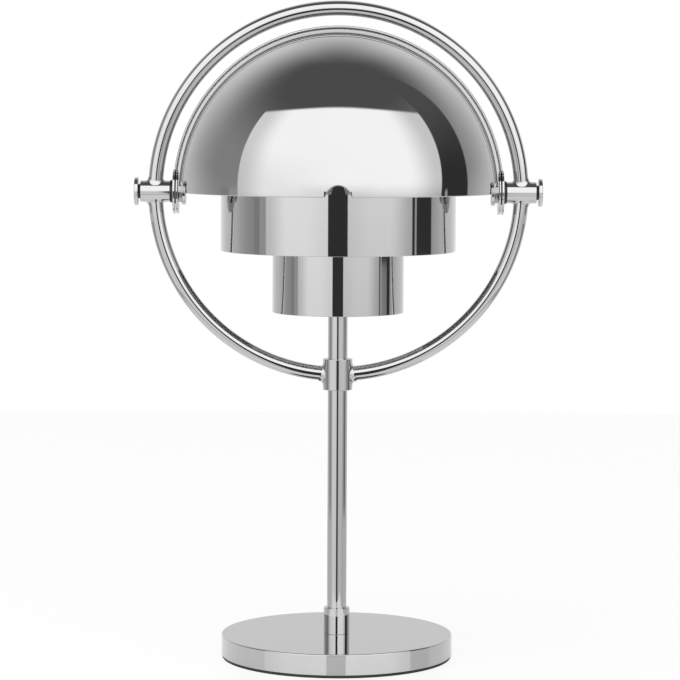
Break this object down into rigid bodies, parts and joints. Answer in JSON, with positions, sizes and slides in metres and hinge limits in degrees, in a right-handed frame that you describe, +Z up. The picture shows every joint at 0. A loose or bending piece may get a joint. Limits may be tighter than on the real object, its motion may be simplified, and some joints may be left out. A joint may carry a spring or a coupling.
{
  "type": "cordless table lamp",
  "caption": "Cordless table lamp: round weighted base, slim stem, ring of bent tube, turning quarter-sphere shades and open cylinders around the light.",
  "frame": {"origin": "centre of the foot pad's underside, on the surface the lamp stands on, under the stem", "axes": "+Z up along the stem, +X along the pivot bolts to the lamp's right as seen from the front, front of the lamp towards -Y"},
  "size_m": [0.2198, 0.1764, 0.356],
  "materials": {
    "chrome_base": "polished chrome plate on spun steel",
    "chrome_stem": "polished chrome plate on drawn tube",
    "chrome_ring": "polished chrome plate on bent tube and turned fittings",
    "chrome_bolts": "polished chrome plate on turned steel",
    "chrome_shades": "polished chrome plate outside, white lacquer inside",
    "chrome_cylinders": "polished chrome plate outside, white lacquer inside",
    "button_metal": "satin chrome",
    "plain_steel": "zinc plated",
    "pivot_washers": "black nylon friction washers",
    "foot_rubber": "matt black rubber sheet",
    "cover_plastic": "moulded black plastic plate",
    "weight_iron": "bare machined casting",
    "cell_wrap": "foil pouch",
    "board_laminate": "lacquered circuit board",
    "connector_plastic": "moulded connector",
    "switch_plastic": "moulded switch body",
    "lead_sheath": "white sheathed two-core lead",
    "carrier_paint": "white powder coat",
    "core_aluminium": "plain extruded",
    "led_laminate": "white light-emitting diode strip",
    "opal_acrylic": "opal acrylic"
  },
  "bodies": {
    "lamp": {"base_shell": "chrome_base", "stem_tube": "chrome_stem", "stem_collar": "chrome_stem", "ring_upper_tube": "chrome_ring", "ring_left_tube": "chrome_ring", "ring_right_tube": "chrome_ring", "ring_socket": "chrome_ring", "left_pivot_barrel": "chrome_ring", "right_pivot_barrel": "chrome_ring", "left_pivot_bolt": "chrome_bolts", "right_pivot_bolt": "chrome_bolts", "left_inner_cap": "chrome_bolts", "right_inner_cap": "chrome_bolts", "diffuser_finial": "chrome_bolts", "wide_cylinder": "chrome_cylinders", "narrow_cylinder": "chrome_cylinders", "stem_washer": "plain_steel", "stem_nut": "plain_steel", "cover_screws": "plain_steel", "board_screws": "plain_steel", "spacer_screws": "plain_steel", "socket_grub_screw": "plain_steel", "hub_grub_screw": "plain_steel", "left_pivot_nut": "plain_steel", "right_pivot_nut": "plain_steel", "charging_socket": "plain_steel", "left_outer_washer": "pivot_washers", "right_outer_washer": "pivot_washers", "left_middle_washer": "pivot_washers", "right_middle_washer": "pivot_washers", "foot_pad": "foot_rubber", "base_cover": "cover_plastic", "base_weight": "weight_iron", "battery_cells": "cell_wrap", "control_board": "board_laminate", "lead_connector": "connector_plastic", "button_switch": "switch_plastic", "stem_lead": "lead_sheath", "carrier_spider": "carrier_paint", "cylinder_spacers": "carrier_paint", "led_core": "core_aluminium", "led_boards": "led_laminate", "diffuser": "opal_acrylic"},
    "front_shade": {"front_shade": "chrome_shades"},
    "back_shade": {"back_shade": "chrome_shades"},
    "dimmer_button": {"dimmer_button": "button_metal"}
  },
  "joints": [
    {"name": "front_shade_turn", "type": "hinge", "parent": "lamp", "child": "front_shade", "pos_m": [0, 0, 0.2534], "axis": [1, 0, 0], "range_deg": [-174, 90]},
    {"name": "back_shade_turn", "type": "hinge", "parent": "lamp", "child": "back_shade", "pos_m": [0, 0, 0.2534], "axis": [1, 0, 0], "range_deg": [-90, 174]},
    {"name": "dimmer_press", "type": "slide", "parent": "lamp", "child": "dimmer_button", "axis": [0.3746, -0.9272, 0], "range_m": [0, 0.0008], "stiffness_N_per_m": 800, "springref_m": -0.0005}
  ]
}
